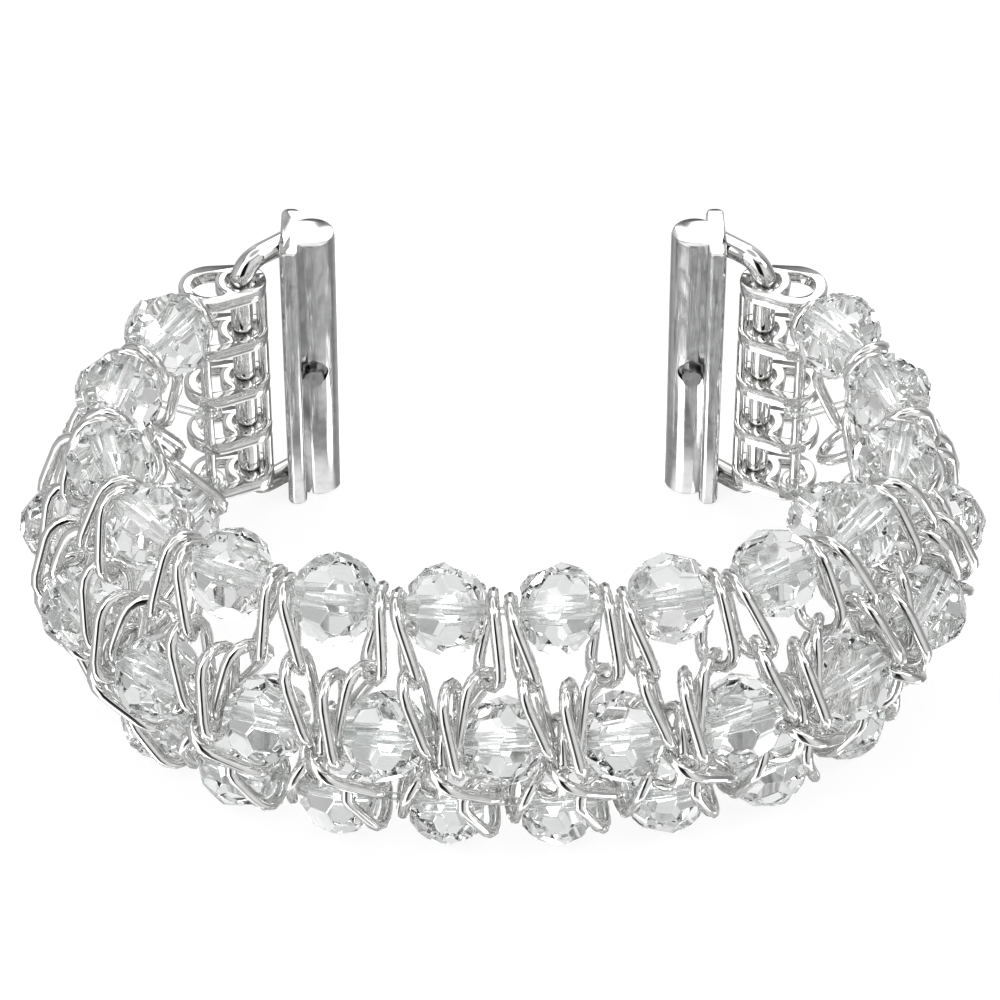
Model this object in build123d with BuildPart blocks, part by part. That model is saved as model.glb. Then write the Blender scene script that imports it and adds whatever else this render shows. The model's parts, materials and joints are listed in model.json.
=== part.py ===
# Bead watch band: three rows of faceted crystal beads on elastic cords, with fine chain
# links in the gaps. Each end has a ladder of rings that swings on the rod of a lug adapter.
# The loop stands on its edge: +Z along the loop's axis, -Y towards the middle of the front.
# The origin is under the middle of the loop, on the surface that the bottom beads stand on.
from build123d import *
from math import asin, atan2, cos, degrees, hypot, pi, radians, sin
import os

# Bead rows, in millimetres and degrees
bead_dia = 8.0
bead_length = 6.6
bead_sides = 6
bead_hole = 1.7
bead_hole_sides = 4
belt_tilt = 22
crown_tilt = 50
crown_start_share = 0.77
crown_place_share = 1 / 3
bead_gap = 3.3
row_rise = 11.7
bulge = 4.2
pitch = bead_length + bead_gap
# Directions of the stations from the front middle round to the right end
half_headings = [4, 12, 28, 51, 77, 104, 124]
headings = [-turn for turn in reversed(half_headings)] + half_headings
station_count = len(headings)
middle_gap = station_count // 2

# Chain links: outer length and width, bar thickness
link_length = 9.65
link_width = 5.65
link_bar = 1.15
end_steps = 4
corner_share = 1.04
# Where the upper and the lower end of each link lie, as shares of the pitch along the row, of
# the bulge outwards and of the row rise upwards, and how the link is turned there, in degrees
link_shares = [
    ((-0.440, -0.08, 1.118), (-0.227, 0.54, 0.407), (-8, 51)),
    ((0.404, -0.25, 1.062), (0.268, 0.68, 0.426), (-5, 29)),
    ((-0.250, 0.58, 0.558), (-0.108, 1.01, -0.146), (-5, 8)),
    ((0.273, 0.40, 0.515), (0.108, 1.06, -0.159), (-40, 6)),
    ((0.076, 1.09, 0.094), (-0.210, 0.61, -0.581), (-18, 46)),
    ((-0.049, 1.77, -0.120), (0.303, 0.27, -0.504), (54, 24)),
    ((-0.227, 0.80, -0.488), (-0.405, -0.41, -1.053), (-29, 6)),
    ((0.363, 0.54, -0.410), (0.420, 0.02, -1.109), (-50, 3)),
]

# Elastic cords, and their turns round the ladders' posts
cord_dia = 0.75
cord_sides = 5
cord_clearance = 0.1
wrap_clearance = 0.1
wrap_pitch_share = 1.6
wrap_start_share = 1.3
wrap_side_share = 0.66
wrap_step = 72
wrap_corners = 6
# Where the middle cord turns in to the ladder, as shares of the pitch and of the bulge
turn_in_shares = (0.242, 0.93)

# End ladders: rings on two posts, with a hub that swings on the rod
ladder_reach = 5.5
ladder_hub_dia = 4.9
ladder_end_dia = 6.0
ladder_length = 8.45
ladder_wall = 1.2
ring_height = 1.3
ring_spaces = 4
post_dia = 1.1
post_turn = 60
ladder_turn = -15
ladder_sides = 8
post_sides = 6

# Rods, lug adapters and their latches
rod_dia = 2.2
rod_clearance = 0.25
rod_sides = 8
rod_bend = 2.4
bend_steps = 3
bend_dip = 0.6
rod_reach = 3.75
rod_set = 3.2
socket_depth = 1.9
socket_clearance = 0.05
socket_gap = 0.1
socket_wall = 0.3
flange_width = 7.6
flange_depth = 1.8
flange_round = 0.6
rail_dia = 4.6
rail_depth = 2.9
rail_sides = 16
stud_dia = 1.9
stud_rim_dia = 2.6
stud_rim_height = 0.8
stud_lip = 0.7
stud_height = 0.9
stud_clearance = 0.08
stud_sides = 10
spring_dia = 1.7
spring_wire = 0.3
spring_turns = 3
spring_steps = 5
bore_floor = 0.9
overrun = 1.0

os.makedirs("parts", exist_ok=True)


def direction(angle):
    return Vector(cos(radians(angle)), sin(radians(angle)), 0)


def outward(angle):
    return Vector(sin(radians(angle)), -cos(radians(angle)), 0)


def write(builder, name):
    builder.part.label = name
    export_step(builder.part, "parts/" + name + ".step")


# One faceted bead, with its hole along X
side_turn = 360 / bead_sides
belt_radius = bead_dia / 2 * (1 + cos(pi / bead_sides)) / 2
crown_radius = bead_dia / 2 * crown_start_share
crown_place = bead_length * crown_place_share
with BuildPart() as bead:
    with BuildSketch(Plane.YZ.offset(-bead_length / 2)):
        RegularPolygon(bead_dia, bead_sides)
    extrude(amount=bead_length)
    for end in (-1, 1):
        for side in range(bead_sides):
            belt = radians(side_turn * (side + (end + 1) / 4))
            crown = belt + pi / bead_sides
            belt_lean = radians(belt_tilt)
            crown_lean = radians(crown_tilt)
            split(
                bisect_by=Plane(
                    (0, belt_radius * cos(belt), belt_radius * sin(belt)),
                    z_dir=(
                        end * sin(belt_lean),
                        cos(belt_lean) * cos(belt),
                        cos(belt_lean) * sin(belt),
                    ),
                ),
                keep=Keep.BOTTOM,
            )
            split(
                bisect_by=Plane(
                    (end * crown_place, crown_radius * cos(crown), crown_radius * sin(crown)),
                    z_dir=(
                        end * sin(crown_lean),
                        cos(crown_lean) * cos(crown),
                        cos(crown_lean) * sin(crown),
                    ),
                ),
                keep=Keep.BOTTOM,
            )
    with BuildSketch(Plane.YZ.offset(-bead_length / 2)):
        RegularPolygon(bead_hole / 2, bead_hole_sides, major_radius=False)
    extrude(amount=bead_length, mode=Mode.SUBTRACT)
bead_foot = -bead.part.bounding_box().min.Z

# Stations: one for each bead of the outer rows, hinged halfway between neighbours
middle_height = row_rise + bead_foot
hinges = {middle_gap: Vector(0, 0, 0)}
for gap in range(middle_gap + 1, station_count):
    hinges[gap] = hinges[gap - 1] + direction(headings[gap - 1]) * pitch
for gap in range(middle_gap - 1, 0, -1):
    hinges[gap] = hinges[gap + 1] - direction(headings[gap]) * pitch
last_heading = headings[-1]
last_centre = hinges[station_count - 1] + direction(last_heading) * (pitch / 2)
post_place = last_centre + direction(last_heading) * ladder_reach

# The ladder's hub and end circles, worked out from the post that the cords hold
hub_to_end = ladder_length - (ladder_hub_dia + ladder_end_dia) / 2
post_radius = (ladder_end_dia - ladder_wall) / 2
end_place = post_place - direction(ladder_turn - post_turn) * post_radius
hub_place = end_place - direction(ladder_turn) * hub_to_end

# The loop's front and back ends set where its middle lies
front = -bulge - bead_dia / 2
back = hub_place.Y + rod_set + flange_width / 2
loop_shift = Vector(0, -(front + back) / 2, middle_height)


def station_plane(station, lift=0):
    if station > middle_gap:
        centre = hinges[station - 1] + direction(headings[station - 1]) * (pitch / 2)
    else:
        centre = hinges[station] - direction(headings[station - 1]) * (pitch / 2)
    return Plane(
        centre + loop_shift + Vector(0, 0, lift),
        x_dir=direction(headings[station - 1]),
        z_dir=(0, 0, 1),
    )


def middle_plane(gap):
    heading = (headings[gap - 1] + headings[gap]) / 2
    return Plane(
        hinges[gap] + outward(heading) * bulge + loop_shift,
        x_dir=direction(heading),
        z_dir=(0, 0, 1),
    )


for station in range(1, station_count + 1):
    with BuildPart() as outer_beads:
        for lift in (row_rise, -row_rise):
            with Locations(station_plane(station, lift).location):
                add(bead.part, clean=False)
    write(outer_beads, f"beads_outer_{station:02d}")
for gap in range(1, station_count):
    with BuildPart() as middle_bead:
        with Locations(middle_plane(gap).location):
            add(bead.part, clean=False)
    write(middle_bead, f"bead_middle_{gap:02d}")


# One chain link: a bar of four flat sides round a long oval that turns along its length
half_length = (link_length - link_bar) / 2
half_width = (link_width - link_bar) / 2
bar_reach = link_bar / 2


def link_solid(upper, lower, turns):
    top = Vector(upper[0] * pitch, -upper[1] * bulge, upper[2] * row_rise)
    bottom = Vector(lower[0] * pitch, -lower[1] * bulge, lower[2] * row_rise)
    middle = (top + bottom) * 0.5
    along = (bottom - top).normalized()
    across = (Vector(0, -1, 0) - along * Vector(0, -1, 0).dot(along)).normalized()
    normal = along.cross(across)
    spots = []
    for end in (1, -1):
        for step in range(end_steps):
            angle = pi * (step + 0.5) / end_steps
            length = (half_length - half_width + half_width * corner_share * sin(angle)) * end
            width = half_width * corner_share * cos(angle) * end
            spots.append((length, width, angle if end > 0 else angle + pi))
    rings = []
    for length, width, angle in spots:
        share = (length + half_length) / (2 * half_length)
        turn = -radians(turns[0] + (turns[1] - turns[0]) * share)
        wide = across * cos(turn) + normal * sin(turn)
        thick = along.cross(wide)
        spot = middle + along * length + wide * width
        out = (along * sin(angle) + wide * cos(angle)) * bar_reach
        back = thick * bar_reach
        rings.append([spot + out, spot + back, spot - out, spot - back])
    faces = []
    for ring, following in zip(rings, rings[1:] + rings[:1]):
        for corner in range(len(ring)):
            after = (corner + 1) % len(ring)
            square = [ring[corner], ring[after], following[after], following[corner]]
            faces.append(Face(Wire.make_polygon(square[:3], close=True)))
            faces.append(Face(Wire.make_polygon([square[0], square[2], square[3]], close=True)))
    return Solid(Shell(faces))


# The last link of the list would meet the right ladder, so the last station goes without it
links = [link_solid(*shares) for shares in link_shares]
for station in range(1, station_count + 1):
    with BuildPart() as chain:
        with Locations(station_plane(station).location):
            add(links[:-1] if station == station_count else links, clean=False)
    write(chain, f"chain_{station:02d}")


# The cords: pulled straight from bead to bead, and wound once round each ladder's post
wrap_radius = (post_dia + cord_dia) / 2 + wrap_clearance
wrap_drop = (ring_height + cord_dia) / 2 + cord_clearance
bead_mouth = bead_length / 2 + cord_clearance


def wrap_route(plane, start, drop_sign):
    # From the cord's last point before the post, once round it and down, in the plane's frame
    arrive = atan2(-start.Y, ladder_reach - start.X)
    forward = Vector(cos(arrive), sin(arrive), 0)
    side = Vector(-sin(arrive), cos(arrive), 0)
    post = Vector(ladder_reach, 0, 0)
    near = wrap_radius * wrap_start_share
    aside = wrap_radius * wrap_side_share
    lean = degrees(asin(wrap_radius / hypot(near, aside)) - atan2(aside, near))
    corner_radius = wrap_radius / cos(radians(wrap_step / 2))
    drop = Vector(0, 0, -drop_sign * wrap_drop)
    route = [start, post - forward * near + side * aside + drop]
    for step in range(wrap_corners):
        angle = radians(90 + lean - wrap_step * (step + 0.5))
        fall = Vector(0, 0, -drop_sign * cord_dia * wrap_pitch_share * wrap_step / 360 * step)
        spot = post + forward * (corner_radius * cos(angle)) + side * (corner_radius * sin(angle))
        route.append(spot + drop + fall)
    return [plane.from_local_coords(spot) for spot in route]


def bead_mouths(plane):
    # Where a taut cord enters and leaves the bead on this plane
    return [plane.from_local_coords(Vector(end * bead_length / 2, 0, 0)) for end in (-1, 1)]


def write_cord(right_route, name):
    # The route's left half mirrors its right half
    left_route = [Vector(-spot.X, spot.Y, spot.Z) for spot in reversed(right_route)]
    with BuildPart() as cord:
        with BuildLine() as path:
            Polyline(*left_route, *right_route)
        with BuildSketch(Plane(path.line @ 0, x_dir=(0, 0, 1), z_dir=path.line % 0)):
            RegularPolygon(cord_dia / 2, cord_sides)
        sweep(transition=Transition.RIGHT)
    write(cord, name)


for name, lift, drop_sign in (("cord_top", row_rise, 1), ("cord_bottom", -row_rise, -1)):
    right_route = []
    for station in range(middle_gap + 1, station_count):
        right_route += bead_mouths(station_plane(station, lift))
    last_plane = station_plane(station_count, lift)
    right_route.append(bead_mouths(last_plane)[0])
    right_route += wrap_route(last_plane, Vector(bead_mouth, 0, 0), drop_sign)
    write_cord(right_route, name)

right_route = [bead_mouths(middle_plane(middle_gap))[1]]
for gap in range(middle_gap + 1, station_count):
    right_route += bead_mouths(middle_plane(gap))
turn_in = Vector(pitch * turn_in_shares[0], -bulge * turn_in_shares[1], 0)
right_route += wrap_route(station_plane(station_count), turn_in, 1)
write_cord(right_route, "cord_middle")


# The ladders
ladder_plane = Plane(
    hub_place + loop_shift - Vector(0, 0, row_rise),
    x_dir=direction(ladder_turn),
    z_dir=(0, 0, 1),
)
hub_radius = ladder_hub_dia / 2
end_radius = ladder_end_dia / 2
hub_bore = rod_dia / 2 + rod_clearance
ring_pitch = 2 * row_rise / ring_spaces
ring_start = -ring_height / 2
ring_planes = [ladder_plane.offset(ring_start + ring_pitch * ring) for ring in range(ring_spaces + 1)]
with BuildPart() as ladder:
    for ring_plane in ring_planes:
        with BuildSketch(ring_plane):
            RegularPolygon(hub_radius, ladder_sides)
            with Locations((hub_to_end, 0)):
                RegularPolygon(end_radius, ladder_sides)
            make_hull()
        extrude(amount=ring_height)
        with BuildSketch(ring_plane) as window:
            RegularPolygon(hub_radius - ladder_wall, ladder_sides)
            with Locations((hub_to_end, 0)):
                RegularPolygon(end_radius - ladder_wall, ladder_sides)
            make_hull()
            RegularPolygon(hub_radius, ladder_sides, mode=Mode.SUBTRACT)
        extrude(amount=ring_height, mode=Mode.SUBTRACT)
        with BuildSketch(ring_plane):
            RegularPolygon(hub_bore, ladder_sides, major_radius=False)
        extrude(amount=ring_height, mode=Mode.SUBTRACT)
    with BuildSketch(ladder_plane):
        with Locations((post_dia / 2 - hub_radius, 0)):
            RegularPolygon(post_dia / 2, post_sides)
        with Locations(Vector(hub_to_end, 0) + direction(-post_turn) * post_radius):
            RegularPolygon(post_dia / 2, post_sides)
    extrude(amount=2 * row_rise)


# The rods: bent from one bar, through the hubs and into the adapters
face_place = hub_place + Vector(-rod_reach, rod_set, 0)
leg_run = face_place - hub_place
rod_side = leg_run.normalized()
leg_rise = row_rise + ring_height / 2 - bend_dip + rod_bend
leg_end = hub_place + rod_side * (leg_run.length + socket_depth - socket_gap)
bend_corners = []
for step in range(bend_steps):
    angle = pi / 2 * (step + 0.5) / bend_steps
    reach = rod_bend / cos(pi / bend_steps / 4)
    run = rod_side * (rod_bend - reach * sin(angle))
    bend_corners.append((run, leg_rise - rod_bend + reach * cos(angle)))
with BuildPart() as bail:
    with BuildLine() as bail_path:
        Polyline(
            leg_end + loop_shift - Vector(0, 0, leg_rise),
            *[hub_place + loop_shift + run - Vector(0, 0, rise) for run, rise in bend_corners],
            *[hub_place + loop_shift + run + Vector(0, 0, rise) for run, rise in reversed(bend_corners)],
            leg_end + loop_shift + Vector(0, 0, leg_rise),
        )
    with BuildSketch(Plane(bail_path.line @ 0, x_dir=(0, 0, 1), z_dir=bail_path.line % 0)):
        RegularPolygon(rod_dia / 2, rod_sides)
    sweep(transition=Transition.RIGHT)


# The adapters: a flange flush with the watch, a rail that slides into it, two sockets, a latch
rail_place = face_place + loop_shift - Vector(rail_depth, 0, 0)
stud_mouth = rail_place - Vector(0, rail_dia / 2, 0)
stud_plane = Plane(stud_mouth, x_dir=(1, 0, 0), z_dir=(0, 1, 0))
adapter_length = 2 * (leg_rise + rod_dia / 2 + socket_clearance + socket_wall)
with BuildPart() as adapter:
    with BuildSketch(Plane.XY.offset(middle_height - adapter_length / 2)):
        with Locations((face_place.X - flange_depth / 2, rail_place.Y)):
            flange = Rectangle(flange_depth, flange_width)
            chamfer(flange.vertices(), flange_round)
        with Locations((rail_place.X, rail_place.Y)):
            RegularPolygon(rail_dia / 2, rail_sides)
    extrude(amount=adapter_length)
    for end in (-1, 1):
        mouth = face_place + loop_shift + Vector(0, 0, end * leg_rise) - rod_side * overrun
        with BuildSketch(Plane(mouth, x_dir=(0, 0, 1), z_dir=rod_side)):
            RegularPolygon(rod_dia / 2 + socket_clearance, rod_sides)
        extrude(amount=socket_depth + overrun, mode=Mode.SUBTRACT)
    with BuildSketch(stud_plane.offset(-overrun)):
        RegularPolygon(stud_dia / 2 + stud_clearance, stud_sides)
    extrude(amount=overrun + stud_lip, mode=Mode.SUBTRACT)
    with BuildSketch(stud_plane.offset(stud_lip)):
        RegularPolygon(stud_rim_dia / 2 + stud_clearance, stud_sides)
    extrude(amount=rail_dia - stud_lip - bore_floor, mode=Mode.SUBTRACT)

with BuildPart() as latch:
    with BuildSketch(stud_plane.offset(-stud_height)):
        RegularPolygon(stud_dia / 2, stud_sides)
    extrude(amount=stud_height + stud_lip + stud_clearance)
    with BuildSketch(stud_plane.offset(stud_lip + stud_clearance)):
        RegularPolygon(stud_rim_dia / 2, stud_sides)
    extrude(amount=stud_rim_height)

spring_start = stud_lip + stud_clearance * 2 + stud_rim_height + spring_wire / 2
spring_end = rail_dia - bore_floor - stud_clearance - spring_wire / 2
spring_radius = (spring_dia - spring_wire) / 2
spring_points = []
for step in range(spring_turns * spring_steps + 1):
    angle = 2 * pi * step / spring_steps
    climb = spring_start + (spring_end - spring_start) * step / (spring_turns * spring_steps)
    spring_points.append(
        stud_plane.from_local_coords(Vector(spring_radius * cos(angle), spring_radius * sin(angle), climb))
    )
with BuildPart() as latch_spring:
    with BuildLine() as coil:
        Polyline(*spring_points)
    with BuildSketch(Plane(coil.line @ 0, x_dir=(0, 1, 0), z_dir=coil.line % 0)):
        Rectangle(spring_wire, spring_wire)
    sweep(transition=Transition.RIGHT)

for piece, name in (
    (ladder, "ladder"),
    (bail, "bail"),
    (adapter, "adapter"),
    (latch, "latch"),
    (latch_spring, "latch_spring"),
):
    write(piece, name + "_right")
    with BuildPart() as left_piece:
        mirror(piece.part, about=Plane.YZ)
    write(left_piece, name + "_left")
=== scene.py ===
import json
import random
from math import acos, asin, atan2, cos, hypot, pi, radians, sin, sqrt

import bmesh
import bpy
from mathutils import Matrix, Vector


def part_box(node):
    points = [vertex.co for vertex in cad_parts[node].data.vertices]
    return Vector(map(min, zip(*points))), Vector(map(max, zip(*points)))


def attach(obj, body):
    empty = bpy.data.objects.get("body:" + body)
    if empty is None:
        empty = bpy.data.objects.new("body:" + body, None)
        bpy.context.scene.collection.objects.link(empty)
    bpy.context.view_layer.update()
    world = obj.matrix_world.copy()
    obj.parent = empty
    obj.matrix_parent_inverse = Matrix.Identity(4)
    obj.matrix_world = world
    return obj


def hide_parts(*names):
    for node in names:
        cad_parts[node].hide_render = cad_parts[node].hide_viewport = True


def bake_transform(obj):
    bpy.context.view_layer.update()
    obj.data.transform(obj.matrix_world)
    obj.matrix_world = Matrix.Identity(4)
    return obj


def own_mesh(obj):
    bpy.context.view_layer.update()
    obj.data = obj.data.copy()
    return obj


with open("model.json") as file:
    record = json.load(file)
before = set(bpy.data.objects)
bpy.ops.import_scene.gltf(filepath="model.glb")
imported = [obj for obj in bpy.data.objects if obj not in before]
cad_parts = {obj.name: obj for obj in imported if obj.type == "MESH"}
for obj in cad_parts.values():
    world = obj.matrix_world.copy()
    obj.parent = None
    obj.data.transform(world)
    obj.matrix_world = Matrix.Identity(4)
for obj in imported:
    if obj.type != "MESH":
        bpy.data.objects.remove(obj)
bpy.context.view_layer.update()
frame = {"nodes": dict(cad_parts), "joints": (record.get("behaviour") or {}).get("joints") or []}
mm = 0.001
weld = 1e-6  # points nearer to each other than this become one
dice = random.Random(11)
up = Vector((0, 0, 1))
print("frame loaded,", len(frame["nodes"]), "nodes")


# Camera: the photograph's view, from above the front beads
shot = {
    "target": (0, 21.0, 15.7),
    "elevation": 39.75,
    "distance": 430,
    "lens": 160.3,
    "sensor": 36,
    "shift": (-0.003, -0.103),
    "clip": 0.02,
}
tilt = radians(shot["elevation"])
target = Vector(shot["target"]) * mm
back = Vector((0, -cos(tilt), sin(tilt)))
camera = bpy.data.objects.new("camera", bpy.data.cameras.new("camera"))
camera.data.lens = shot["lens"]
camera.data.sensor_width = shot["sensor"]
camera.data.shift_x, camera.data.shift_y = shot["shift"]
camera.data.clip_start = shot["clip"]
camera.location = target + back * shot["distance"] * mm
camera.rotation_euler = (-back).to_track_quat("-Z", "Y").to_euler()
bpy.context.scene.collection.objects.link(camera)
bpy.context.scene.camera = camera


# Materials
def linear(hexText):
    parts = [int(hexText[i:i + 2], 16) / 255 for i in (0, 2, 4)]
    return tuple(p / 12.92 if p <= 0.04045 else ((p + 0.055) / 1.055) ** 2.4 for p in parts) + (1,)


def addNode(tree, kind, settings=None, links=None):
    node = tree.nodes.new(kind)
    for key, value in (settings or {}).items():
        if isinstance(key, int) or key in node.inputs:
            node.inputs[key].default_value = value
        else:
            setattr(node, key, value)
    for key, source in (links or {}).items():
        tree.links.new(source, node.inputs[key])
    return node


def newMaterial(name):
    material = bpy.data.materials.new(name)
    material.use_nodes = True
    material.node_tree.nodes.clear()
    return material, material.node_tree


def rampStops(node, stops):
    ramp = node.color_ramp
    while len(ramp.elements) > 1:
        ramp.elements.remove(ramp.elements[-1])
    ramp.elements[0].position, ramp.elements[0].color = stops[0]
    for place, shade in stops[1:]:
        ramp.elements.new(place).color = shade
    return node


# Machine-cut lead-free crystal: flat polished facets, so it is all reflection and refraction, with
# only a breath of grey-green in the glass and faint polishing haze
crystalFinish = {"tints": ("F6F9F8", "FEFEFE"), "cloud": 3.85, "haze": 0.03, "bend": 1.56}


def crystalGlass():
    material, tree = newMaterial("cut crystal glass")
    place = addNode(tree, "ShaderNodeTexCoord")
    cloud = addNode(tree, "ShaderNodeTexNoise", {"Scale": 1 / (crystalFinish["cloud"] * mm), "Detail": 1},
                    {"Vector": place.outputs["Object"]})
    dark, light = (linear(tint) for tint in crystalFinish["tints"])
    tint = rampStops(addNode(tree, "ShaderNodeValToRGB", {}, {"Fac": cloud.outputs["Fac"]}),
                     [(0.35, dark), (0.65, light)])
    haze = addNode(tree, "ShaderNodeMapRange", {"To Min": 0.0, "To Max": crystalFinish["haze"]},
                   {"Value": cloud.outputs["Fac"]})
    shader = addNode(tree, "ShaderNodeBsdfPrincipled",
                     {"Transmission Weight": 1, "IOR": crystalFinish["bend"]},
                     {"Base Color": tint.outputs["Color"], "Roughness": haze.outputs["Result"]})
    addNode(tree, "ShaderNodeOutputMaterial", {}, {"Surface": shader.outputs["BSDF"]})
    return material


# The drilled hole is ground, not polished: a pale, cloudy tube seen through the crystal. Its grit is
# drawn coarser than the real one, which is too fine to show
holeFinish = {"tints": ("F0F2F2", "FFFFFF"), "grit": 0.25, "dent": 0.05, "clear": 0.95, "rough": 0.22}


def drilledGlass():
    material, tree = newMaterial("drilled glass")
    place = addNode(tree, "ShaderNodeTexCoord")
    grit = addNode(tree, "ShaderNodeTexNoise", {"Scale": 1 / (holeFinish["grit"] * mm), "Detail": 2},
                   {"Vector": place.outputs["Object"]})
    dark, light = (linear(tint) for tint in holeFinish["tints"])
    tone = rampStops(addNode(tree, "ShaderNodeValToRGB", {}, {"Fac": grit.outputs["Fac"]}),
                     [(0.4, dark), (0.6, light)])
    dents = addNode(tree, "ShaderNodeBump", {"Strength": 0.4, "Distance": holeFinish["dent"] * mm},
                    {"Height": grit.outputs["Fac"]})
    shader = addNode(tree, "ShaderNodeBsdfPrincipled",
                     {"Transmission Weight": holeFinish["clear"], "IOR": crystalFinish["bend"],
                      "Roughness": holeFinish["rough"]},
                     {"Base Color": tone.outputs["Color"], "Normal": dents.outputs["Normal"]})
    addNode(tree, "ShaderNodeOutputMaterial", {}, {"Surface": shader.outputs["BSDF"]})
    return material


# Metals: tumbled and plated castings have a soft waviness under the mirror, a few fine scratches,
# and slightly duller hollows. Here the waviness is a bump, and a fine noise varies tone and roughness a
# little at random
wear = {"size": 1.11, "least": 0.6, "most": 1.5, "waviness": 0.5}


def platedMetal(name, light, dark, roughness, waveSize, waveDepth):
    material, tree = newMaterial(name)
    place = addNode(tree, "ShaderNodeTexCoord")
    wave = addNode(tree, "ShaderNodeTexNoise", {"Scale": 1 / (waveSize * mm), "Detail": 1},
                   {"Vector": place.outputs["Object"]})
    fine = addNode(tree, "ShaderNodeTexNoise", {"Scale": 1 / (wear["size"] * mm), "Detail": 2},
                   {"Vector": place.outputs["Object"]})
    tone = rampStops(addNode(tree, "ShaderNodeValToRGB", {}, {"Fac": fine.outputs["Fac"]}),
                     [(0.3, linear(dark)), (0.6, linear(light))])
    gloss = addNode(tree, "ShaderNodeMapRange",
                    {"To Min": roughness * wear["least"], "To Max": roughness * wear["most"]},
                    {"Value": fine.outputs["Fac"]})
    dents = addNode(tree, "ShaderNodeBump", {"Strength": wear["waviness"], "Distance": waveDepth * mm},
                    {"Height": wave.outputs["Fac"]})
    shader = addNode(tree, "ShaderNodeBsdfPrincipled", {"Metallic": 1},
                     {"Base Color": tone.outputs["Color"], "Roughness": gloss.outputs["Result"],
                      "Normal": dents.outputs["Normal"]})
    addNode(tree, "ShaderNodeOutputMaterial", {}, {"Surface": shader.outputs["BSDF"]})
    return material


# Drawn stretch cord: clear polyurethane, slightly milky, with a soft skin
cordFinish = {"tints": ("E4E7E6", "F6F6F4"), "cloud": 1.11, "clear": 0.95, "bend": 1.45, "rough": 0.12}


def stretchCord():
    material, tree = newMaterial("clear polyurethane cord")
    place = addNode(tree, "ShaderNodeTexCoord")
    cloud = addNode(tree, "ShaderNodeTexNoise", {"Scale": 1 / (cordFinish["cloud"] * mm), "Detail": 1},
                    {"Vector": place.outputs["Object"]})
    dark, light = (linear(tint) for tint in cordFinish["tints"])
    tone = rampStops(addNode(tree, "ShaderNodeValToRGB", {}, {"Fac": cloud.outputs["Fac"]}),
                     [(0.3, dark), (0.7, light)])
    shader = addNode(tree, "ShaderNodeBsdfPrincipled",
                     {"Transmission Weight": cordFinish["clear"], "IOR": cordFinish["bend"],
                      "Roughness": cordFinish["rough"]},
                     {"Base Color": tone.outputs["Color"]})
    addNode(tree, "ShaderNodeOutputMaterial", {}, {"Surface": shader.outputs["BSDF"]})
    return material


crystal = crystalGlass()
drilled = drilledGlass()
chainSilver = platedMetal("rhodium plated link", light="E6E6E5", dark="DADAD9", roughness=0.05,
                          waveSize=2.5, waveDepth=0.02)
ladderSilver = platedMetal("rhodium plated casting", light="DFDFDE", dark="D0D0CF", roughness=0.08,
                           waveSize=3.0, waveDepth=0.04)
rodSilver = platedMetal("rhodium plated rod", light="E2E2E1", dark="D6D6D5", roughness=0.05,
                        waveSize=6.0, waveDepth=0.02)
adapterSteel = platedMetal("polished stainless steel", light="D0D0D0", dark="C2C2C2", roughness=0.12,
                           waveSize=8.0, waveDepth=0.015)
studSteel = platedMetal("turned stainless steel", light="C2C2C2", dark="AEAEAE", roughness=0.2,
                        waveSize=4.0, waveDepth=0.015)
cordClear = stretchCord()
print("materials made")


# Making and placing
def makePiece(name, bm, body, materials, replaced=(), sharp=35, smooth=True):
    mesh = bpy.data.meshes.new(name)
    bm.to_mesh(mesh)
    bm.free()
    for material in materials:
        mesh.materials.append(material)
    if smooth:
        mesh.shade_smooth()
        mesh.set_sharp_from_angle(angle=radians(sharp))
    piece = bpy.data.objects.new(name, mesh)
    bpy.context.scene.collection.objects.link(piece)
    if body:
        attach(piece, body)
    if replaced:
        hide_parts(*replaced)
    return piece


def gridAt(spot, heading):
    # x along the heading, y inwards, z up
    grid = Matrix((heading, Vector((-heading.y, heading.x, 0)), up)).transposed().to_4x4()
    grid.translation = spot
    return grid


def newEdges(made):
    return [part for part in made if isinstance(part, bmesh.types.BMEdge)]


def newVerts(made):
    return [part for part in made if isinstance(part, bmesh.types.BMVert)]


def pull(bm, edges, move):
    # Draws a ring of edges along, and gives the new ring
    made = bmesh.ops.extrude_edge_only(bm, edges=edges)["geom"]
    verts = newVerts(made)
    bmesh.ops.translate(bm, verts=verts, vec=move)
    fresh = set(verts)
    return [edge for edge in newEdges(made) if edge.verts[0] in fresh and edge.verts[1] in fresh]


def turn(bm, edges, centre, axis, angle, steps):
    # Turns a ring of edges round an axis, and gives the last ring
    made = bmesh.ops.spin(bm, geom=edges, cent=centre, axis=axis, angle=angle, steps=steps)["geom_last"]
    return newEdges(made)


flip = Matrix.Scale(-1, 4, (1, 0, 0))


def mirrored(bm):
    other = bm.copy()
    other.transform(flip)
    bmesh.ops.reverse_faces(other, faces=other.faces[:])
    return other


# The line of the loop, from the joints' own places. A station is a top bead and a bottom bead with
# their links. A middle bead hangs in each gap, and rides on the station that is nearer to the hub
band = {"pitch": 9.9, "rowRise": 11.7, "bulge": 4.2, "stations": 14, "hub": 7}
last = band["stations"]
joints = {joint["name"]: joint for joint in frame["joints"]}


def stationBody(station):
    return f"station_{station:02d}"


def middleBody(gap):
    return stationBody(gap if gap >= band["hub"] else gap + 1)


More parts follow.
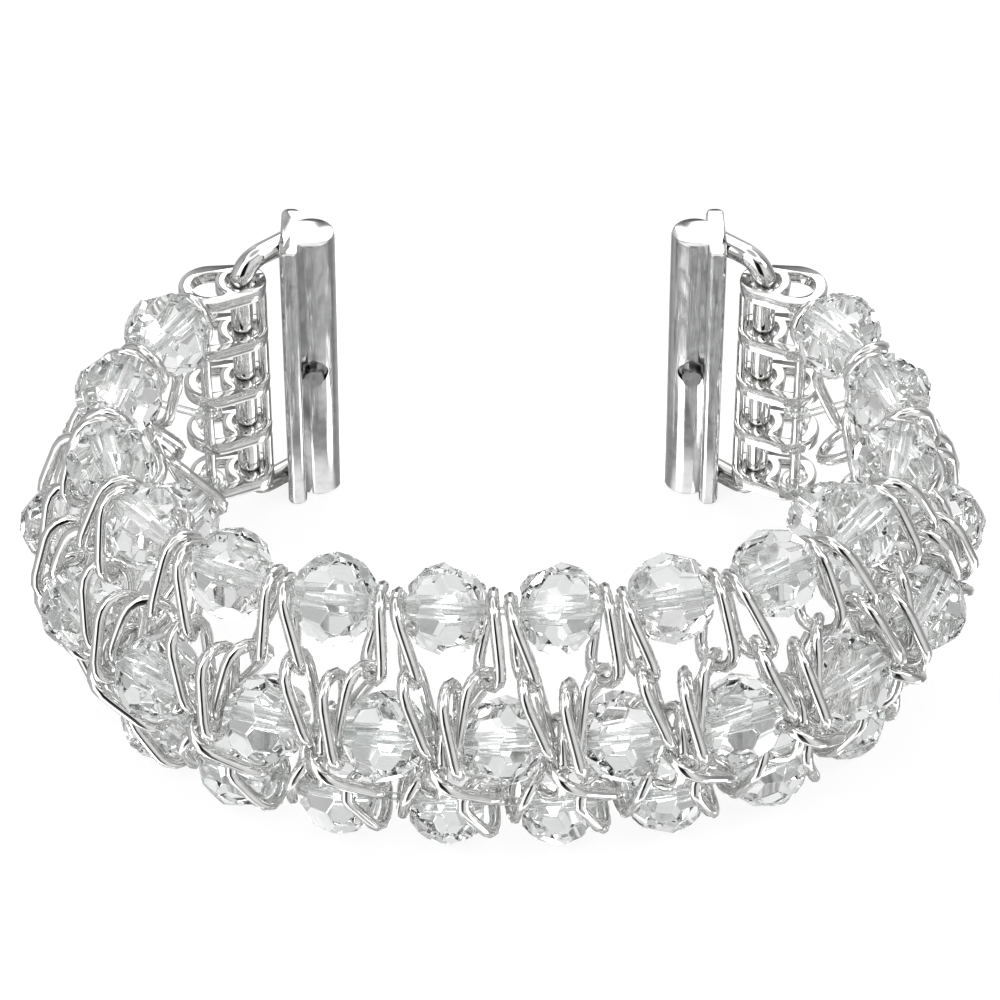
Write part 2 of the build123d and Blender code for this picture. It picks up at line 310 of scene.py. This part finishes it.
spots = [Vector(joints["ladder_left_on_cords"]["pos_m"])]
for gap in range(1, last):
    name = f"flex_{gap:02d}_{gap + 1:02d}" if gap >= band["hub"] else f"flex_{gap + 1:02d}_{gap:02d}"
    spots.append(Vector(joints[name]["pos_m"]))
spots.append(Vector(joints["ladder_right_on_cords"]["pos_m"]))
stations = {}
for station in range(1, last + 1):
    heading = (spots[station] - spots[station - 1]).normalized()
    halfPitch = heading * (band["pitch"] / 2 * mm)
    centre = spots[station] - halfPitch if station == 1 else spots[station - 1] + halfPitch
    stations[station] = gridAt(centre, heading)
middles = {}
for gap in range(1, last):
    heading = (stations[gap].col[0].xyz + stations[gap + 1].col[0].xyz).normalized()
    outwards = Vector((heading.y, -heading.x, 0))
    middles[gap] = gridAt(spots[gap] + outwards * (band["bulge"] * mm), heading)


# Beads: a block cut down by the facet planes, drilled along x
bead = {
    "across": 8.3,
    "long": 6.8,
    "folds": 9,
    "beltTilt": 19,
    "crownTilt": 47,
    "crownStart": 0.80,
    "crownPlace": 2.2,
    "hole": 1.3,
    "mouth": 0.8,  # how far the end facet is taken in towards the hole, as a share
    "edge": 0.03,
}


def cutBead():
    bm = bmesh.new()
    block = Matrix.Diagonal((bead["long"] * mm, bead["across"] * 2 * mm, bead["across"] * 2 * mm, 1))
    bmesh.ops.create_cube(bm, size=1, matrix=block)
    beltRadius = bead["across"] / 2 * (1 + cos(pi / bead["folds"])) / 2
    crownRadius = bead["across"] / 2 * bead["crownStart"]
    for end in (-1, 1):
        for side in range(bead["folds"]):
            belt = 2 * pi / bead["folds"] * (side + (end + 1) / 4)
            crown = belt + pi / bead["folds"]
            for angle, place, radius, lean in (
                (belt, 0, beltRadius, radians(bead["beltTilt"])),
                (crown, end * bead["crownPlace"], crownRadius, radians(bead["crownTilt"])),
            ):
                spot = Vector((place, radius * cos(angle), radius * sin(angle))) * mm
                facing = Vector((end * sin(lean), cos(lean) * cos(angle), cos(lean) * sin(angle)))
                cut = bmesh.ops.bisect_plane(bm, geom=bm.verts[:] + bm.edges[:] + bm.faces[:], dist=1e-8,
                                             plane_co=spot, plane_no=facing, clear_outer=True)
                rim = newEdges(cut["geom_cut"])
                if rim:
                    bmesh.ops.contextual_create(bm, geom=rim)
    bmesh.ops.remove_doubles(bm, verts=bm.verts, dist=weld)
    bmesh.ops.bevel(bm, geom=bm.edges[:], offset=bead["edge"] * mm, segments=1, profile=0.5,
                    affect="EDGES", material=-1)
    bm.normal_update()
    rims = []
    for end in (-1, 1):
        face = max(bm.faces, key=lambda f: f.normal.x * end * 10 + f.calc_area())
        width = min(hypot(v.co.y, v.co.z) for v in face.verts)
        inset = (width / mm - bead["hole"] / 2) * mm * bead["mouth"]
        bmesh.ops.inset_region(bm, faces=[face], thickness=inset)
        for vert in face.verts:
            away = hypot(vert.co.y, vert.co.z)
            vert.co.y *= bead["hole"] / 2 * mm / away
            vert.co.z *= bead["hole"] / 2 * mm / away
        rims += list(face.edges)
        bmesh.ops.delete(bm, geom=[face], context="FACES_ONLY")
    wall = bmesh.ops.bridge_loops(bm, edges=rims)["faces"]
    for face in wall:
        face.material_index = 1
    bmesh.ops.recalc_face_normals(bm, faces=bm.faces)
    mesh = bpy.data.meshes.new("beadForm")
    bm.to_mesh(mesh)
    bm.free()
    return mesh


beadForm = cutBead()
print("bead faces", len(beadForm.polygons))


def addBead(bm, grid):
    # Each bead sits at its own turn on the cord
    form = beadForm.copy()
    form.transform(grid @ Matrix.Rotation(dice.uniform(0, 2 * pi), 4, "X"))
    bm.from_mesh(form)
    bpy.data.meshes.remove(form)


for station, grid in stations.items():
    bm = bmesh.new()
    for side in (1, -1):
        addBead(bm, Matrix.Translation(up * (side * band["rowRise"] * mm)) @ grid)
    makePiece(f"crystals_outer_{station:02d}", bm, stationBody(station), [crystal, drilled],
              [f"beads_outer_{station:02d}"], smooth=False)
for gap, grid in middles.items():
    bm = bmesh.new()
    addBead(bm, grid)
    makePiece(f"crystal_middle_{gap:02d}", bm, middleBody(gap), [crystal, drilled],
              [f"bead_middle_{gap:02d}"], smooth=False)
print("beads cut")


# Chain links: a round bar closed into a long oval, then twisted along its length. A link is given by
# its two ends, as shares of the pitch, the bulge and the row's rise, and its turn at each in degrees
link = {
    "long": 9.65,
    "wide": 5.65,
    "bar": 1.15,
    "sides": 8,
    "endSteps": 8,
    "sideSteps": 5,
    "giveFar": (8, 0),  # beyond this point a link would go with the next station,
    "giveNear": (1.6, 3.2),  # and before this one with its own
    "endShares": [
        ((-0.440, -0.08, 1.118), (-0.227, 0.54, 0.407), (-8, 51)),
        ((0.404, -0.25, 1.062), (0.268, 0.68, 0.426), (-5, 29)),
        ((-0.250, 0.58, 0.558), (-0.108, 1.01, -0.146), (-5, 8)),
        ((0.273, 0.40, 0.515), (0.108, 1.06, -0.159), (-40, 6)),
        ((0.076, 1.09, 0.094), (-0.210, 0.61, -0.581), (-18, 46)),
        ((-0.049, 1.77, -0.120), (0.303, 0.27, -0.504), (54, 24)),
        ((-0.227, 0.80, -0.488), (-0.405, -0.41, -1.053), (-29, 6)),
        ((0.363, 0.54, -0.410), (0.420, 0.02, -1.109), (-50, 3)),
    ],
    # Away from the ladders the links lean and turn a little more, and a ninth hangs from the fourth
    "shares": [
        ((-0.439, -0.05, 1.109), (-0.282, 0.66, 0.446), (-3, 28)),
        ((0.407, -0.25, 1.051), (0.390, 0.60, 0.490), (0, 36)),
        ((-0.320, 0.73, 0.564), (-0.103, 1.12, -0.049), (-13, 2)),
        ((0.342, 0.54, 0.520), (0.067, 1.02, -0.072), (-42, 10)),
        ((-0.003, 0.91, 0.059), (-0.159, 0.88, -0.522), (-3, 45)),
        ((-0.071, 1.44, -0.186), (0.420, 0.70, -0.592), (10, 30)),
        ((-0.211, 0.87, -0.443), (-0.438, -0.27, -1.075), (-23, 10)),
        ((0.253, 0.85, -0.514), (0.424, 0.04, -1.126), (-46, 1)),
        ((0.052, 0.90, 0.431), (0.143, 1.41, -0.119), (-14, 5)),
    ],
}
linkHalf = (link["long"] - link["bar"]) / 2 * mm


def bentLink():
    # Flat on the xy plane, long side on x
    halfWide = (link["wide"] - link["bar"]) / 2 * mm
    straight = linkHalf - halfWide
    bm = bmesh.new()
    start = Matrix.Translation((straight, halfWide, 0)) @ Matrix.Rotation(pi / 2, 4, "Y")
    bmesh.ops.create_circle(bm, segments=link["sides"], radius=link["bar"] / 2 * mm, matrix=start)
    ring = bm.edges[:]
    for end in (1, -1):
        ring = turn(bm, ring, (end * straight, 0, 0), (0, 0, 1), -pi, link["endSteps"])
        for step in range(link["sideSteps"]):
            ring = pull(bm, ring, Vector((-end * 2 * straight / link["sideSteps"], 0, 0)))
    bmesh.ops.remove_doubles(bm, verts=bm.verts, dist=weld)
    bmesh.ops.recalc_face_normals(bm, faces=bm.faces)
    mesh = bpy.data.meshes.new("linkForm")
    bm.to_mesh(mesh)
    bm.free()
    return mesh


linkForm = bentLink()
print("link faces", len(linkForm.polygons))


def addLink(bm, upper, lower, turns, grid):
    scale = Vector((band["pitch"], -band["bulge"], band["rowRise"])) * mm
    top, bottom = Vector(upper) * scale, Vector(lower) * scale
    along = (bottom - top).normalized()
    outwards = Vector((0, -1, 0))
    across = (outwards - along * outwards.dot(along)).normalized()
    lie = Matrix((along, across, along.cross(across))).transposed().to_4x4()
    lie.translation = (top + bottom) / 2
    form = linkForm.copy()
    for vert in form.vertices:
        share = min(max((vert.co.x + linkHalf) / (2 * linkHalf), 0), 1)
        twist = -radians(turns[0] + (turns[1] - turns[0]) * share)
        vert.co = Matrix.Rotation(twist, 4, "X") @ vert.co
    form.transform(grid @ lie)
    bm.from_mesh(form)
    bpy.data.meshes.remove(form)


for station, grid in stations.items():
    bm = bmesh.new()
    shares = link["shares"]
    if station in (1, last):
        shares = link["endShares"]
    if station == last:
        shares = shares[:-1]  # the eighth would meet the right ladder
    for upper, lower, turns in shares:
        addLink(bm, upper, lower, turns, grid)
    body = stationBody(station)
    piece = makePiece(f"links_{station:02d}", bm, body if station == band["hub"] else None,
                      [chainSilver], [f"chain_{station:02d}"], sharp=180)
    # The middle bead on one side rides on the next station. The points where the links beside it would give
    # way are worked out and mirrored past the hub, but the links away from the hub ride on no station and
    # stay where they are
    far, near = (Vector((x * mm, y * mm, 0)) for x, y in (link["giveFar"], link["giveNear"]))
    if station < band["hub"]:
        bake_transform(piece)
    if station > band["hub"]:
        far.x, near.x = -far.x, -near.x
        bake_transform(piece)
print("links bent")


# Ladders: five open rings on two posts. A ring is a small hub, bored for the rod, and a wide end
ladder = {
    "hub": 4.9,
    "end": 6.0,
    "long": 8.45,
    "wall": 1.2,
    "bore": 3.0,
    "rings": 5,
    "ringHigh": 1.3,
    "round": 0.16,
    "turn": -15,
    "postTurn": 60,
    "post": 1.1,
    "postSides": 16,
    "hubSteps": 40,
    "endSteps": 48,
    "innerSteps": 36,
    "mouthSteps": 14,
}


def addSpline(curve, points):
    spline = curve.splines.new("POLY")
    spline.points.add(len(points) - 1)
    for point, (x, y) in zip(spline.points, points):
        point.co = (x * mm, y * mm, 0, 1)
    spline.use_cyclic_u = True


def arcPoints(centre, radius, start, end, steps):
    angles = [start + (end - start) * i / steps for i in range(steps + 1)]
    return [(centre + radius * cos(angle), radius * sin(angle)) for angle in angles]


def plate(curve, thick, rounding):
    # A flat curve with its holes, made a rounded solid plate about z = 0
    curve.dimensions = "2D"
    curve.fill_mode = "BOTH"
    curve.extrude = (thick / 2 - rounding) * mm
    curve.bevel_depth = rounding * mm
    curve.bevel_resolution = 1
    curve.offset = -rounding * mm
    holder = bpy.data.objects.new("plateCurve", curve)
    bpy.context.scene.collection.objects.link(holder)
    mesh = bpy.data.meshes.new_from_object(holder)
    bpy.data.objects.remove(holder)
    bm = bmesh.new()
    bm.from_mesh(mesh)
    bpy.data.meshes.remove(mesh)
    bmesh.ops.remove_doubles(bm, verts=bm.verts, dist=weld)
    bmesh.ops.recalc_face_normals(bm, faces=bm.faces)
    return bm


hubRadius, endRadius = ladder["hub"] / 2, ladder["end"] / 2
hubToEnd = ladder["long"] - hubRadius - endRadius
curve = bpy.data.curves.new("ringCurve", "CURVE")
lean = acos((hubRadius - endRadius) / hubToEnd)
addSpline(curve, arcPoints(0, hubRadius, lean, 2 * pi - lean, ladder["hubSteps"])
          + arcPoints(hubToEnd, endRadius, -lean, lean, ladder["endSteps"]))
boreSteps = ladder["hubSteps"] - 1
addSpline(curve, arcPoints(0, ladder["bore"] / 2, 0, 2 * pi * boreSteps / ladder["hubSteps"], boreSteps))
innerHub, innerEnd = hubRadius - ladder["wall"], endRadius - ladder["wall"]
lean = acos((innerHub - innerEnd) / hubToEnd)
reach = sqrt(hubRadius ** 2 - innerHub ** 2)
meet = atan2(innerHub * sin(lean) - reach * cos(lean), innerHub * cos(lean) + reach * sin(lean))
addSpline(curve, arcPoints(hubToEnd, innerEnd, -lean, lean, ladder["innerSteps"])
          + arcPoints(0, hubRadius, meet, -meet, ladder["mouthSteps"]))
ringForm = plate(curve, ladder["ringHigh"], ladder["round"])
ringMesh = bpy.data.meshes.new("ringForm")
ringForm.to_mesh(ringMesh)
ringForm.free()

ladderHeading = Vector((cos(radians(ladder["turn"])), sin(radians(ladder["turn"])), 0))
hubSpot = Vector(joints["ladder_right_on_rod"]["pos_m"])
ladderGrid = gridAt(hubSpot, ladderHeading)
bm = bmesh.new()
for ring in range(ladder["rings"]):
    form = ringMesh.copy()
    form.transform(Matrix.Translation(up * (band["rowRise"] * (ring / 2 - 1) * mm)))
    bm.from_mesh(form)
    bpy.data.meshes.remove(form)
postRing = endRadius - ladder["wall"] / 2
postAngle = radians(-ladder["postTurn"])
postRadius = ladder["post"] / 2
for x, y in ((postRadius - hubRadius, 0),
             (hubToEnd + postRing * cos(postAngle), postRing * sin(postAngle))):
    bmesh.ops.create_cone(bm, segments=ladder["postSides"], radius1=postRadius * mm,
                          radius2=postRadius * mm, depth=2 * band["rowRise"] * mm,
                          matrix=Matrix.Translation((x * mm, y * mm, 0)))
bm.transform(ladderGrid)
other = mirrored(bm)
makePiece("ring_ladder_right", bm, "ladder_right", [ladderSilver], ["ladder_right"])
makePiece("ring_ladder_left", other, "ladder_left", [ladderSilver], ["ladder_left"])
print("ladders made")


# Rods: one round bar, bent twice, through the hubs and into the adapters
rod = {
    "dia": 2.2,
    "sides": 20,
    "bend": 2.4,
    "bendSteps": 12,
    "rise": 14.15,
    "reach": 3.75,
    "set": 3.2,
    "socket": 1.8,
}
legRun = Vector((-rod["reach"], rod["set"], 0))
rodSide = legRun.normalized()
rodGrid = gridAt(hubSpot, rodSide)
legLong = (legRun.length + rod["socket"]) * mm
bend = rod["bend"] * mm
rise = rod["rise"] * mm
bm = bmesh.new()
start = Matrix.Translation((legLong, 0, -rise)) @ Matrix.Rotation(pi / 2, 4, "Y")
bmesh.ops.create_circle(bm, segments=rod["sides"], radius=rod["dia"] / 2 * mm, matrix=start,
                        cap_ends=False)
ring = pull(bm, bm.edges[:], Vector((bend - legLong, 0, 0)))
ring = turn(bm, ring, (bend, 0, bend - rise), (0, 1, 0), pi / 2, rod["bendSteps"])
ring = pull(bm, ring, Vector((0, 0, 2 * (rise - bend))))
ring = turn(bm, ring, (bend, 0, rise - bend), (0, 1, 0), pi / 2, rod["bendSteps"])
ring = pull(bm, ring, Vector((legLong - bend, 0, 0)))
bmesh.ops.holes_fill(bm, edges=bm.edges)
bmesh.ops.recalc_face_normals(bm, faces=bm.faces)
bm.transform(rodGrid)
other = mirrored(bm)
makePiece("bent_rod_right", bm, "adapter_right", [rodSilver], ["bail_right"])
makePiece("bent_rod_left", other, "adapter_left", [rodSilver], ["bail_left"])
print("rods bent")


# Adapters: a flange flush with the watch and a rail that slides into it
adapter = {
    "long": 31.2,
    "wide": 7.6,
    "deep": 1.8,
    "corner": 0.7,
    "cornerSteps": 6,
    "rail": 4.6,
    "railSet": 2.9,
    "railSteps": 36,
    "round": 0.25,
    "socketGap": 0.08,
    "studBore": 2.76,
    "studDeep": 3.7,
    "boreSides": 32,
    "mouth": 0.15,
    "sharp": 28,
}
corner = adapter["corner"]
halfWide = adapter["wide"] / 2
railRadius = adapter["rail"] / 2
railCut = sqrt(railRadius ** 2 - (adapter["railSet"] - adapter["deep"]) ** 2)
railAngle = atan2(railCut, adapter["railSet"] - adapter["deep"])


def cornerPoints(x, y, first):
    # A quarter turn about (x, y)
    steps = adapter["cornerSteps"]
    angles = [radians(first + 90 / steps * step) for step in range(steps + 1)]
    return [(x + corner * cos(angle), y + corner * sin(angle)) for angle in angles]


outline = cornerPoints(-corner, halfWide - corner, 0)
outline += cornerPoints(corner - adapter["deep"], halfWide - corner, 90)
outline += arcPoints(-adapter["railSet"], railRadius, railAngle, 2 * pi - railAngle, adapter["railSteps"])
outline += cornerPoints(corner - adapter["deep"], corner - halfWide, 180)
outline += cornerPoints(-corner, corner - halfWide, 270)
curve = bpy.data.curves.new("adapterCurve", "CURVE")
addSpline(curve, outline)
bm = plate(curve, adapter["long"], adapter["round"])
faceSpot = hubSpot + legRun * mm
bm.transform(Matrix.Translation(faceSpot))


def drill(bm, spot, heading, radius, deep):
    # Takes a round bore out of the piece, with a broken edge at its mouth. Both cutters start 1 mm
    # outside the piece
    mouth = adapter["mouth"]
    shape = bmesh.new()
    lie = heading.to_track_quat("Z", "Y").to_matrix().to_4x4()
    for wide, long in ((radius, deep + 1), (radius + mouth + 1, mouth + 1)):
        lie.translation = spot + heading * ((-1 + long / 2) * mm)
        bmesh.ops.create_cone(shape, cap_ends=True, segments=adapter["boreSides"], radius1=wide * mm,
                              radius2=radius * mm, depth=long * mm, matrix=lie)
    holders = []
    for source in (bm, shape):
        mesh = bpy.data.meshes.new("drillForm")
        source.to_mesh(mesh)
        source.free()
        holder = bpy.data.objects.new("drillForm", mesh)
        bpy.context.scene.collection.objects.link(holder)
        holders.append(holder)
    cut = holders[0].modifiers.new("bore", "BOOLEAN")
    cut.operation = "DIFFERENCE"
    cut.solver = "EXACT"
    cut.use_self = True  # the two cutters overlap
    cut.object = holders[1]
    drilledForm = holders[0].evaluated_get(bpy.context.evaluated_depsgraph_get())
    mesh = bpy.data.meshes.new_from_object(drilledForm)
    bm = bmesh.new()
    bm.from_mesh(mesh)
    for holder in holders:
        bpy.data.meshes.remove(holder.data)
    bpy.data.meshes.remove(mesh)
    return bm


for end in (-1, 1):
    bm = drill(bm, faceSpot + up * (end * rod["rise"] * mm), rodSide, rod["dia"] / 2 + adapter["socketGap"],
               rod["socket"] + adapter["socketGap"])
studSpot = faceSpot - Vector((adapter["railSet"] * mm, 0, 0)) - Vector((0, railRadius * mm, 0))
bm = drill(bm, studSpot, Vector((0, 1, 0)), adapter["studBore"] / 2, adapter["studDeep"])
other = mirrored(bm)
for side, form in (("right", bm), ("left", other)):
    makePiece("lug_adapter_" + side, form, "adapter_" + side, [adapterSteel],
              ["adapter_" + side], sharp=adapter["sharp"])
print("adapters made")


# Latch studs keep their CAD shapes, and so do their springs
for side in ("right", "left"):
    stud = frame["nodes"]["latch_" + side].data
    stud.materials.clear()
    stud.materials.append(studSteel)
    node = "latch_spring_" + side
    bm = bmesh.new()
    bm.from_mesh(frame["nodes"][node].data)
    bmesh.ops.remove_doubles(bm, verts=bm.verts, dist=weld)
    piece = makePiece("stud_spring_" + side, bm, "adapter_" + side, [studSteel], [node])
    low, high = (Vector(corner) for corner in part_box(node))
    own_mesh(piece)
print("latches placed")


# Clear cords: a taut run from bead to bead in each gap, and a turn round the ladders' posts
cord = {"dia": 0.75, "sides": 8}
beadHalf = bead["long"] / 2 * mm


def tube(points):
    # A bar drawn along the points, its section turned square to the run at each
    bm = bmesh.new()
    runs = [(b - a).normalized() for a, b in zip(points, points[1:])]
    faces = [runs[0]] + [(a + b).normalized() for a, b in zip(runs, runs[1:])] + [runs[-1]]
    ring = None
    for point, facing in zip(points, faces):
        side = facing.cross(up).normalized()
        lie = Matrix((side, facing.cross(side), facing)).transposed().to_4x4()
        lie.translation = point
        if ring is None:
            bmesh.ops.create_circle(bm, segments=cord["sides"], radius=cord["dia"] / 2 * mm, matrix=lie)
            ring = bm.edges[:]
        else:
            ring = pull(bm, ring, Vector())
            verts = set(vert for edge in ring for vert in edge.verts)
            bmesh.ops.transform(bm, matrix=lie @ before.inverted(), verts=list(verts))
        before = lie
    bmesh.ops.holes_fill(bm, edges=bm.edges)
    bmesh.ops.recalc_face_normals(bm, faces=bm.faces)
    return bm


def threadGap(name, first, second, firstBody, secondBody, replaced):
    near, far = first @ Vector((beadHalf, 0, 0)), second @ Vector((-beadHalf, 0, 0))
    bm = tube([first.translation, near, near.lerp(far, 0.5), far, second.translation])
    riding = firstBody if firstBody == secondBody else None
    piece = makePiece(name, bm, riding, [cordClear], replaced)
    if not riding:
        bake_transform(piece)


for row, side in (("top", 1), ("bottom", -1)):
    lift = Matrix.Translation(up * (side * band["rowRise"] * mm))
    for gap in range(1, last):
        threadGap(f"cord_{row}_run_{gap:02d}", lift @ stations[gap], lift @ stations[gap + 1],
                  stationBody(gap), stationBody(gap + 1), [f"cord_{row}"] if gap == 1 else [])
for gap in range(1, last - 1):
    threadGap(f"cord_middle_run_{gap:02d}", middles[gap], middles[gap + 1],
              middleBody(gap), middleBody(gap + 1), ["cord_middle"] if gap == 1 else [])

# turnIn is where the middle cord turns to the post, as shares of the pitch and the bulge
wrap = {"radius": 1.025, "drop": 1.125, "fall": 1.2, "steps": 20, "turns": 0.95, "turnIn": (0.242, 0.93)}
lastGrid = stations[last]
post = lastGrid.inverted() @ Vector(joints["ladder_right_on_cords"]["pos_m"])


def endRun(start, side):
    # From the last bead to the post and once round it, in the last station's frame
    centre = Vector((post.x, post.y, start.z))
    arrive = (centre - start).normalized()
    aside = Vector((-arrive.y, arrive.x, 0))
    swing = asin(wrap["radius"] * mm / (centre - start).length)
    down = Vector((0, 0, -side * wrap["drop"] * mm))
    points = [start]
    for step in range(wrap["steps"] + 1):
        angle = pi / 2 + swing - 2 * pi * step / wrap["steps"] * wrap["turns"]
        fall = Vector((0, 0, -side * wrap["fall"] * mm * step / wrap["steps"]))
        points.append(centre + (arrive * cos(angle) + aside * sin(angle)) * wrap["radius"] * mm + down + fall)
    return [lastGrid @ point for point in points]


# Each end: its name, its points, the two bodies it joins, and the point where it starts to bend
ends = []
for row, side in (("top", 1), ("bottom", -1)):
    start = Vector((beadHalf, 0, side * band["rowRise"] * mm))
    route = [lastGrid @ Vector((0, 0, start.z))] + endRun(start, side)
    ends.append((row, route, stationBody(last), "ladder_right", 0))
turnIn = Vector((wrap["turnIn"][0] * band["pitch"], -wrap["turnIn"][1] * band["bulge"], 0)) * mm
ends.append(("middle", endRun(turnIn, 1), stationBody(last), "ladder_right", 0))
mouthSpot = middles[last - 1] @ Vector((beadHalf, 0, 0))
route = [middles[last - 1].translation, mouthSpot, lastGrid @ turnIn]
ends.append(("middle_turn", route, stationBody(last - 1), stationBody(last), 1))
for row, route, first, second, bendFrom in ends:
    bm = tube(route)
    other = mirrored(bm)
    piece = makePiece(f"cord_{row}_end_right", bm, None, [cordClear])
    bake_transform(piece)
    piece = makePiece(f"cord_{row}_end_left", other, None, [cordClear])
    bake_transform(piece)
print("cords threaded")


# Floor: plain white paper, with the object's soft shadow kept, under clear acrylic
sweep = {
    "half": 3,
    "paper": "F8F8F8",
    "glow": 1.05,
    "glowShare": 0.84,
    "mirrorGrey": 0.9,
    "mirrorRough": 0.06,
    "mirrorShare": 0.92,
}


def greys(pairs):
    return [(place, (grey, grey, grey, 1)) for place, grey in pairs]


def whiteFloor():
    material, tree = newMaterial("white paper sweep")
    rays = addNode(tree, "ShaderNodeLightPath")
    seen = addNode(tree, "ShaderNodeMath", {"operation": "MAXIMUM"},
                   {0: rays.outputs["Is Camera Ray"], 1: rays.outputs["Is Glossy Ray"]})
    seen = addNode(tree, "ShaderNodeMath", {"operation": "MAXIMUM"},
                   {0: seen.outputs[0], 1: rays.outputs["Is Transmission Ray"]})
    share = addNode(tree, "ShaderNodeMath", {"operation": "MULTIPLY", 1: sweep["glowShare"]},
                    {0: seen.outputs[0]})
    paper = addNode(tree, "ShaderNodeBsdfDiffuse", {"Color": linear(sweep["paper"])})
    glow = addNode(tree, "ShaderNodeEmission", {"Color": (1, 1, 1, 1), "Strength": sweep["glow"]})
    both = addNode(tree, "ShaderNodeMixShader", {},
                   {0: share.outputs[0], 1: paper.outputs[0], 2: glow.outputs[0]})
    # The acrylic: in the metal the floor also mirrors the sheets and flags
    grey = sweep["mirrorGrey"]
    mirror = addNode(tree, "ShaderNodeBsdfGlossy",
                     {"Color": (grey, grey, grey, 1), "Roughness": sweep["mirrorRough"]})
    part = addNode(tree, "ShaderNodeMath", {"operation": "MULTIPLY", 1: sweep["mirrorShare"]},
                   {0: rays.outputs["Is Glossy Ray"]})
    both = addNode(tree, "ShaderNodeMixShader", {},
                   {0: part.outputs[0], 1: both.outputs[0], 2: mirror.outputs[0]})
    addNode(tree, "ShaderNodeOutputMaterial", {}, {"Surface": both.outputs[0]})
    return material


bm = bmesh.new()
bmesh.ops.create_grid(bm, x_segments=1, y_segments=1, size=sweep["half"])
mesh = bpy.data.meshes.new("floor")
bm.to_mesh(mesh)
bm.free()
mesh.materials.append(whiteFloor())
floor = bpy.data.objects.new("floor", mesh)
bpy.context.scene.collection.objects.link(floor)


# World: metal sees sheets and black flags round about it, from the left (0) by way of the front
# (0.25), the right (0.5) and the back (0.75), with a bright sheet overhead. Glass sees paler sheets,
# so that its facets stay light. The other ramps go by height, from 0 level to 1 straight up
studio = {
    "around": [
        (0.00, 0.70), (0.06, 0.55), (0.085, 1.8), (0.165, 1.8), (0.185, 0.01), (0.27, 0.01), (0.29, 0.85),
        (0.39, 1.0), (0.46, 0.55), (0.54, 0.22), (0.61, 0.50), (0.70, 0.80), (0.735, 0.15), (0.765, 0.15),
        (0.80, 0.75), (0.88, 0.30), (0.94, 0.55),
    ],
    "overhead": [(0.70, 0.35), (0.80, 0.35), (0.84, 1.5), (0.94, 1.5), (0.97, 0.6)],
    "overheadFrom": 0.68,
    "overheadTo": 0.74,
    "inGlass": [
        (0.00, 0.95), (0.35, 0.80), (0.50, 0.45), (0.62, 0.40), (0.66, 1.0), (0.85, 1.0), (1.00, 0.70),
    ],
    "forDiffuse": (0.8, 0.8, 0.8, 1),
}
world = bpy.data.worlds.new("white studio")
bpy.context.scene.world = world
world.use_nodes = True
tree = world.node_tree
tree.nodes.clear()
rays = addNode(tree, "ShaderNodeLightPath")
place = addNode(tree, "ShaderNodeTexCoord")
split = addNode(tree, "ShaderNodeSeparateXYZ", {}, {"Vector": place.outputs["Generated"]})
compass = addNode(tree, "ShaderNodeTexGradient", {"gradient_type": "RADIAL"},
                  {"Vector": place.outputs["Generated"]})
around = rampStops(addNode(tree, "ShaderNodeValToRGB", {}, {"Fac": compass.outputs["Fac"]}),
                   greys(studio["around"]))
overhead = rampStops(addNode(tree, "ShaderNodeValToRGB", {}, {"Fac": split.outputs["Z"]}),
                     greys(studio["overhead"]))
high = addNode(tree, "ShaderNodeMapRange",
               {"From Min": studio["overheadFrom"], "From Max": studio["overheadTo"]},
               {"Value": split.outputs["Z"]})
bands = addNode(tree, "ShaderNodeMix", {"data_type": "RGBA"},
                {0: high.outputs["Result"], 6: around.outputs["Color"], 7: overhead.outputs["Color"]})
pale = rampStops(addNode(tree, "ShaderNodeValToRGB", {}, {"Fac": split.outputs["Z"]}),
                 greys(studio["inGlass"]))
inGlass = addNode(tree, "ShaderNodeMath", {"operation": "MINIMUM", 1: 1.0},
                  {0: rays.outputs["Transmission Depth"]})
shade = addNode(tree, "ShaderNodeMix", {"data_type": "RGBA"},
                {0: inGlass.outputs[0], 6: bands.outputs[2], 7: pale.outputs["Color"]})
shade = addNode(tree, "ShaderNodeMix", {"data_type": "RGBA", 7: studio["forDiffuse"]},
                {0: rays.outputs["Is Diffuse Ray"], 6: shade.outputs[2]})
sky = addNode(tree, "ShaderNodeBackground", {"Strength": 1}, {"Color": shade.outputs[2]})
plain = addNode(tree, "ShaderNodeBackground", {"Color": (1, 1, 1, 1), "Strength": 1})
both = addNode(tree, "ShaderNodeMixShader", {},
               {0: rays.outputs["Is Camera Ray"], 1: sky.outputs[0], 2: plain.outputs[0]})
addNode(tree, "ShaderNodeOutputWorld", {}, {"Surface": both.outputs[0]})

# Lamps: square softboxes turned to the camera's target, sizes in metres and power in watts
lamps = {
    "keyLamp": {"spot": (-0.35, -0.30, 0.55), "size": 0.30, "power": 1.4},
    "fillLamp": {"spot": (0.45, -0.10, 0.45), "size": 0.25, "power": 0.8},
    "backLamp": {"spot": (0.05, 0.60, 0.50), "size": 0.35, "power": 1.0},
}
for name, values in lamps.items():
    data = bpy.data.lights.new(name, "AREA")
    data.shape = "SQUARE"
    data.size = values["size"]
    data.energy = values["power"]
    lamp = bpy.data.objects.new(name, data)
    lamp.location = values["spot"]
    lamp.rotation_euler = (target - Vector(values["spot"])).to_track_quat("-Z", "Y").to_euler()
    bpy.context.scene.collection.objects.link(lamp)
bpy.context.scene.view_settings.view_transform = "Standard"
bpy.context.scene.cycles.glossy_bounces = 12  # light goes round inside a cut bead many times
print("studio lit")
